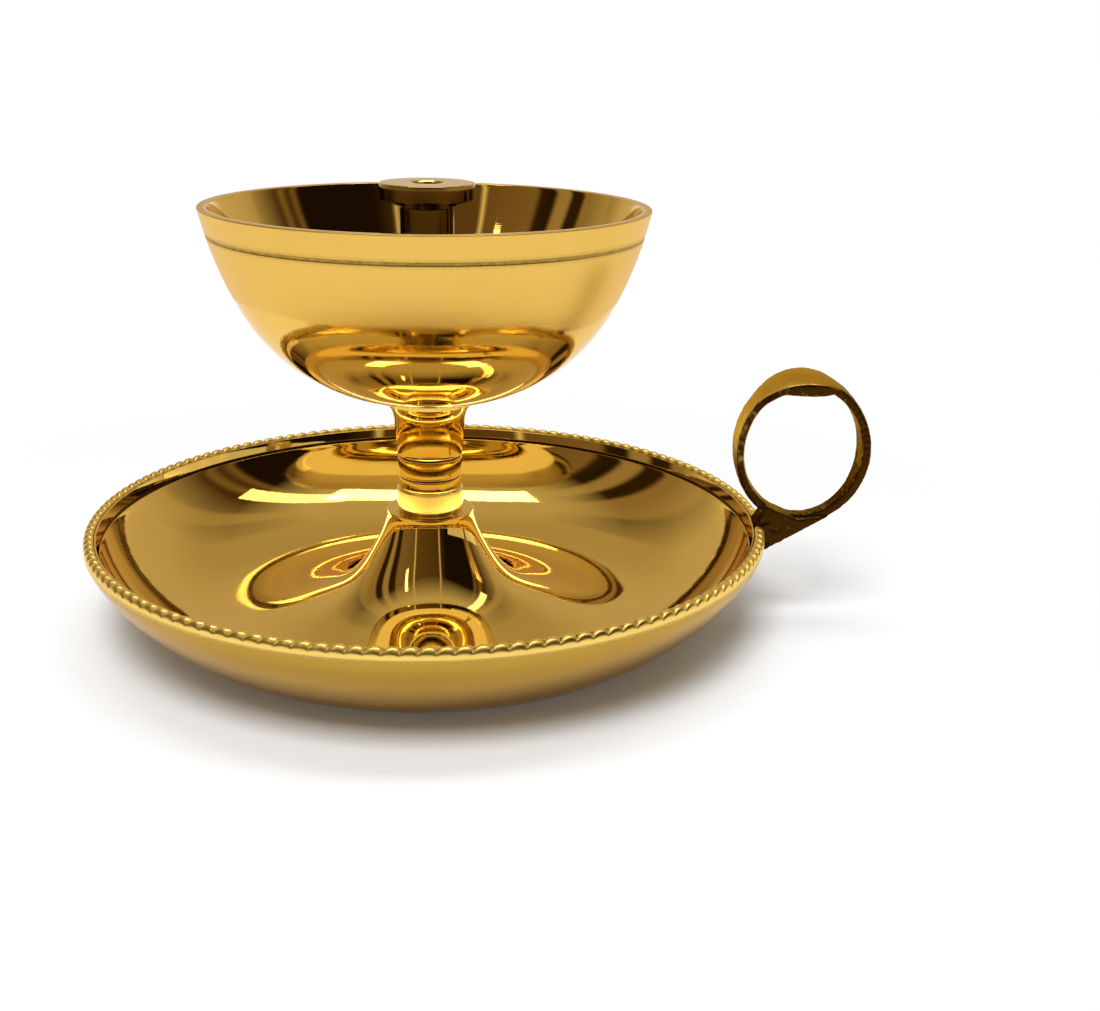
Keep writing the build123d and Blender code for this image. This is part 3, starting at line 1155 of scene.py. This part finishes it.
@dataclass
class FuelBowl:
    """Fuel bowl with its scored rim band."""

    mouth_radius: float = 35.45
    mouth_height: float = 69.25
    bottom: float = 38.15
    flat: float = 4.1
    arc: float = 29.1
    turn: float = 62.0
    floor: float = 2.2
    lip: float = 1.55
    band_height: float = 3.8
    band_lean: float = 0.98
    score_width: float = 0.6
    score_depth: float = 0.13
    hole: float = 4.02
    brushed_from: float = 16.8
    brushed_fade: float = 1.4
    dip: float = 2.6
    dip_azimuth: float = -33.0
    dip_spread: float = 16.0
    score_shade: float = 0.35
    corner: float = 0.22
    step: float = 0.7

    def side(self, arc: float, end: Point) -> list[Point]:
        """Belly and side of the bowl, from its level centre to an end point.

        Args:
            arc: radius of the belly's arc.
            end: upper end of the side.

        Returns:
            The points in order.
        """
        along = (math.cos(math.radians(self.turn)), math.sin(math.radians(self.turn)))
        belly = arc_points((self.flat, self.bottom + self.arc), arc, 270, 270 + self.turn, 40)
        return belly + tangent_arc(belly[-1], end, along, 24)[1:]

    @cached_property
    def inside(self) -> list[Point]:
        """Inner side of the bowl, from its centre to the lip."""
        return self.side(self.arc - self.floor, (self.mouth_radius - self.lip, self.mouth_height))

    def profile(self) -> list[Point]:
        """Closed section of the bowl.

        Returns:
            The points in order.
        """
        foot = self.mouth_height - self.band_height
        foot_radius = self.mouth_radius - self.band_lean
        low = foot - self.score_width
        low_radius = foot_radius - self.band_lean * self.score_width / self.band_height
        points = [(self.hole, self.bottom)] + self.side(self.arc, (low_radius, low))
        for share in np.linspace(0, 1, 9)[1:]:
            sunk = self.score_depth * math.sin(math.pi * share)
            radius = low_radius + (foot_radius - low_radius) * share - sunk
            points.append((radius, low + self.score_width * share))
        points.append((self.mouth_radius, self.mouth_height))
        points += self.inside[::-1] + [(self.hole, self.bottom + self.floor)]
        return fill_in(soften(points, self.corner, True), self.step, True)

    def groove(self, radius: float, height: float) -> float:
        """Recess of a point: a soft line of painted shade along the score under the band.

        Args:
            radius: the point's distance from the axis.
            height: the point's height.

        Returns:
            The recess mark, from 0 to 1.
        """
        middle = self.mouth_height - self.band_height - self.score_width / 2
        outside = radius > self.mouth_radius - self.band_lean - 0.4
        return self.score_shade * math.exp(-((height - middle) / 0.35) ** 2) if outside else 0.0

    def brushed(self, here: Vector) -> float:
        """Satin of a point: the outside is brushed above the belly, a little further down beside the ring.

        Args:
            here: a point of the surface.

        Returns:
            The satin mark, from 0 to 1.
        """
        wall = float(np.interp(here.z, [z for _, z in self.inside], [r for r, _ in self.inside]))
        away = math.degrees(math.atan2(here.y, here.x)) - self.dip_azimuth
        low = self.bottom + self.brushed_from - self.dip * math.exp(-((away / self.dip_spread) ** 2))
        outside = math.hypot(here.x, here.y) > wall + 0.4
        return smooth_step(here.z, low, low + self.brushed_fade) if outside else 0.0

    def build(self, effects: Effects) -> None:
        """Make the bowl.

        Args:
            effects: the shared node groups.
        """
        bowl = turned_piece("fuel_bowl", self.profile(), True, {"recess": self.groove})
        store(bowl, "satin", np.array([self.brushed(vertex.co / MM) for vertex in bowl.data.vertices]))
        place(bowl, Body.BOWL, Slot.POLISHED, "bowl", BOWL.material(effects))


@dataclass
class WickHolder:
    """Loose turned spool that holds the wick."""

    top: float = 72.7
    seat: float = 41.0725
    flange_radius: float = 7.53
    flange_height: float = 2.5
    cone_height: float = 1.3
    neck_radius: float = 4.3
    foot_radius: float = 6.6
    foot_height: float = 2.0
    bore: float = 2.5
    bore_edge: float = 0.3
    feed_radius: float = 1.7
    feed_height: float = 6.8
    spigot_radius: float = 2.55
    spigot_length: float = 7.0
    corner: float = 0.2
    step: float = 0.6

    def profile(self) -> list[Point]:
        """Open section of the spool, from the spigot's end to the bore's floor.

        Returns:
            The points in order.
        """
        flange_low = self.top - self.flange_height
        feed = self.seat + self.feed_height
        foot_top = self.seat + self.foot_height
        spigot_end = self.seat - self.spigot_length
        points = [
            (0.0, spigot_end), (self.spigot_radius, spigot_end), (self.spigot_radius, self.seat),
            (self.foot_radius, self.seat), (self.foot_radius, foot_top), (self.neck_radius, foot_top),
            (self.neck_radius, flange_low - self.cone_height), (self.flange_radius, flange_low),
            (self.flange_radius, self.top), (self.bore + self.bore_edge, self.top),
            (self.bore, self.top - self.bore_edge), (self.bore, feed), (0.0, feed),
        ]
        return fill_in(soften(points, self.corner, False), self.step, False)

    def soot(self, radius: float, height: float) -> float:
        """Recess of a point: the bore is dark with soot."""
        return 1.0 if radius < self.bore + 0.05 and height > self.seat + self.foot_height else 0.0

    def darkened_part(self, radius: float, height: float) -> bool:
        """Whether a point is on the neck or the flange's edge, which take a much darker brass."""
        outside = radius > self.bore + self.bore_edge + 0.2
        return outside and self.seat + self.foot_height < height < self.top - 0.12

    def build(self, effects: Effects) -> None:
        """Make the holder and drill its feed hole.

        Args:
            effects: the shared node groups.
        """
        spool = turned_piece("wick_holder_blank", self.profile(), False, {})
        bpy.ops.mesh.primitive_cylinder_add(
            vertices=48, radius=self.feed_radius * MM, depth=4 * self.neck_radius * MM,
            location=(0, 0, (self.seat + self.feed_height) * MM), rotation=(math.pi / 2, 0, 0))
        drill = bpy.context.object
        bored = spool.modifiers.new("feed_hole", "BOOLEAN")
        bored.object = drill
        bored.solver = "EXACT"
        holder = link_piece(worked(spool, "wick_holder_spool"))
        bpy.data.objects.remove(drill)
        places = [vertex.co / MM for vertex in holder.data.vertices]
        store(holder, "recess", np.array([self.soot(math.hypot(p.x, p.y), p.z) for p in places]))
        place(holder, Body.HOLDER, Slot.POLISHED, "wick_holder", MIRROR.material(effects))
        # The neck and the flange's edge take the darker brass.
        second_finish(holder, DARKENED.material(effects), self.darkened_part)


@dataclass
class Studio:
    """Pale floor, soft light and the camera."""

    eye: Place = (24.39, -220.96, 94.81)
    yaw: float = -0.01886
    pitch: float = 0.3276
    roll: float = 0.0193
    lens: float = 45.27
    sensor: float = 36.0
    aim: Place = (0.0, 0.0, 0.03)
    floor_size: float = 8.0
    floor_colour: Colour = (0.80, 0.83, 0.87)
    floor_roughness: float = 0.8
    floor_glow: float = 0.06
    shadow_reach: Point = (0.068, 0.16)
    ceiling_from: Point = (0.72, 0.9)
    backdrop_from: Point = (0.22, 0.7)

    ROOM: ClassVar[Colour] = (1.0, 0.92, 0.82)
    GLOOM: ClassVar[Colour] = (1.0, 0.55, 0.15)
    WALLS: ClassVar[tuple[Point, ...]] = (
        (0.0, 0.55), (0.1, 0.4), (0.112, 0.05), (0.16, 0.05), (0.173, 0.3), (0.225, 0.3), (0.232, 0.03),
        (0.255, 0.03), (0.263, 0.36), (0.283, 0.34), (0.29, 0.02), (0.315, 0.03), (0.325, 0.22),
        (0.412, 0.16), (0.418, 0.8), (0.424, 0.12), (0.567, 0.08), (0.573, 0.8), (0.579, 0.05),
        (0.61, 0.012), (0.745, 0.012), (0.752, 0.2), (0.765, 0.06), (0.778, 0.22), (0.79, 0.06),
        (0.835, 0.08), (0.845, 0.36), (0.868, 0.34), (0.876, 0.05), (0.915, 0.06), (0.93, 0.4), (1.0, 0.55),
    )
    CEILING: ClassVar[tuple[Point, ...]] = ((0.0, 0.5), (1.0, 0.55))
    BACKDROP: ClassVar[tuple[Point, ...]] = (
        (0.0, 1.0), (0.045, 1.0), (0.09, 0.64), (0.2, 0.58), (0.42, 0.56), (0.6, 0.46), (0.8, 0.46),
        (1.0, 0.5),
    )

    def camera(self) -> None:
        """Stand the camera where the photograph was taken from."""
        level = math.cos(self.pitch)
        forward = Vector((math.sin(self.yaw) * level, math.cos(self.yaw) * level, -math.sin(self.pitch)))
        right = Vector((math.cos(self.yaw), -math.sin(self.yaw), 0))
        up = right.cross(forward)
        across = math.cos(self.roll) * right + math.sin(self.roll) * up
        upright = math.cos(self.roll) * up - math.sin(self.roll) * right
        data = bpy.data.cameras.new("camera")
        data.lens = self.lens
        data.sensor_width = self.sensor
        data.clip_start = 0.01
        camera = bpy.data.objects.new("camera", data)
        turn = Matrix((across, upright, -forward)).transposed().to_4x4()
        camera.matrix_world = Matrix.Translation(Vector(self.eye) * MM) @ turn
        bpy.context.scene.collection.objects.link(camera)
        bpy.context.scene.camera = camera

    def floor(self) -> None:
        """Lay the pale floor, which shows nearly white and keeps a soft shadow."""
        half = self.floor_size / 2
        corners = [(-half, -half, 0), (half, -half, 0), (half, half, 0), (-half, half, 0)]
        mesh = bpy.data.meshes.new("floor")
        mesh.from_pydata(corners, [], [(0, 1, 2, 3)])
        made = bpy.data.materials.new("pale_floor")
        made.use_nodes = True
        tree = made.node_tree
        shader = tree.nodes["Principled BSDF"]
        shader.inputs["Base Color"].default_value = (*self.floor_colour, 1.0)
        shader.inputs["Roughness"].default_value = self.floor_roughness
        shader.inputs["Specular IOR Level"].default_value = 0.0
        wires = Wiring(tree)
        path = tree.nodes.new("ShaderNodeLightPath").outputs
        seen = wires.math("MAXIMUM", path["Is Camera Ray"], path["Is Glossy Ray"])
        seen = wires.math("MAXIMUM", seen, path["Is Transmission Ray"])
        dim = wires.math("MULTIPLY", seen, self.floor_glow)
        near_glow = wires.node("ShaderNodeEmission", 0, {"Strength": dim})
        far_glow = wires.node("ShaderNodeEmission", 0, {"Strength": seen})
        near = wires.node("ShaderNodeAddShader", 0, {0: shader.outputs[0], 1: near_glow})
        away = wires.ramp(wires.length(wires.here()), *self.shadow_reach)
        whole = wires.node("ShaderNodeMixShader", 0, {"Fac": away, 1: near, 2: far_glow})
        wires.join(whole, tree.nodes["Material Output"].inputs["Surface"])
        mesh.materials.append(made)
        link_piece(mesh)

    @classmethod
    def levels(cls, wires: Wiring, value: Socket, stops: tuple[Point, ...]) -> Socket:
        """Levels along a value: white at 1, warm like the room to 0.5 and deeper in tone below.

        Args:
            wires: the wiring of the node tree.
            value: socket from 0 to 1.
            stops: place and level of each stop.

        Returns:
            The colour's socket.
        """
        ramp = wires.node("ShaderNodeValToRGB", "Color", {"Fac": value})
        elements = ramp.node.color_ramp.elements
        elements.remove(elements[1])
        for number, (place_at, level) in enumerate(stops):
            element = elements[0] if number == 0 else elements.new(place_at)
            element.position = place_at
            light = min(1.0, level / 0.5)
            white = max(0.0, (level - 0.7) / 0.3)
            tints = [gloom + (room - gloom) * light for gloom, room in zip(cls.GLOOM, cls.ROOM)]
            element.color = (*(level * (tint + (1 - tint) * white) for tint in tints), 1)
        return ramp

    def world(self) -> None:
        """Surround the lamp with a pale backdrop, dim walls with upright panels, and a ceiling."""
        world = bpy.data.worlds.new("studio")
        bpy.context.scene.world = world
        world.use_nodes = True
        wires = Wiring(world.node_tree)
        around = wires.node("ShaderNodeTexCoord", "Generated", {})
        split = wires.node("ShaderNodeSeparateXYZ", "X", {0: around}).node.outputs
        nearer = wires.math("MULTIPLY", split["Y"], -1.0)
        turn = wires.math("ARCTAN2", split["X"], nearer)
        turn = wires.math("MULTIPLY_ADD", turn, 1 / (2 * math.pi), 0.5)
        walls = self.levels(wires, turn, self.WALLS)
        ceiling = self.levels(wires, split["Z"], self.CEILING)
        backdrop = self.levels(wires, split["Z"], self.BACKDROP)
        overhead = wires.ramp(split["Z"], *self.ceiling_from)
        behind = wires.ramp(split["Y"], *self.backdrop_from)
        room = wires.mix(overhead, walls, ceiling)
        whole = wires.mix(behind, room, backdrop)
        wires.join(whole, world.node_tree.nodes["Background"].inputs["Color"])

    def lamp(self, name: str, place_at: Place, size: Point, watts: float) -> bpy.types.Object:
        """Hang one softbox that faces the lamp.

        Args:
            name: the softbox's name.
            place_at: its place in metres.
            size: its width and height in metres.
            watts: its power.

        Returns:
            The light object.
        """
        data = bpy.data.lights.new(name, "AREA")
        data.shape = "RECTANGLE"
        data.size = size[0]
        data.size_y = size[1]
        data.energy = watts
        light = bpy.data.objects.new(name, data)
        light.location = place_at
        light.rotation_mode = "QUATERNION"
        light.rotation_quaternion = (Vector(self.aim) - light.location).to_track_quat("-Z", "Y")
        bpy.context.scene.collection.objects.link(light)
        return light

    def build(self) -> None:
        """Set the whole studio up."""
        bpy.context.scene.view_settings.view_transform = "Standard"
        self.camera()
        self.floor()
        self.world()
        self.lamp("overhead_softbox", (0.0, 0.02, 0.7), (0.54, 0.14), 1.1)
        self.lamp("left_window", (-0.39, -0.41, 0.58), (0.05, 0.2), 0.1)
        self.lamp("right_softbox", (0.4, 0.11, 0.68), (0.11, 0.42), 0.3)
        self.lamp("right_panel", (0.74, -0.06, 0.09), (1.1, 0.16), 0.36)
        self.lamp("key_softbox", (-0.06, -0.58, 0.88), (0.42, 0.42), 8.8).visible_glossy = False


def main() -> None:
    """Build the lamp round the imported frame, then the studio."""
    logging.basicConfig(level=logging.INFO, format="%(name)s %(message)s")
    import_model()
    effects = Effects()
    for assembly in (DripDish(), FingerRing(), Stem(), FuelBowl(), WickHolder()):
        assembly.build(effects)
    Studio().build()


if __name__ == "__main__":
    main()
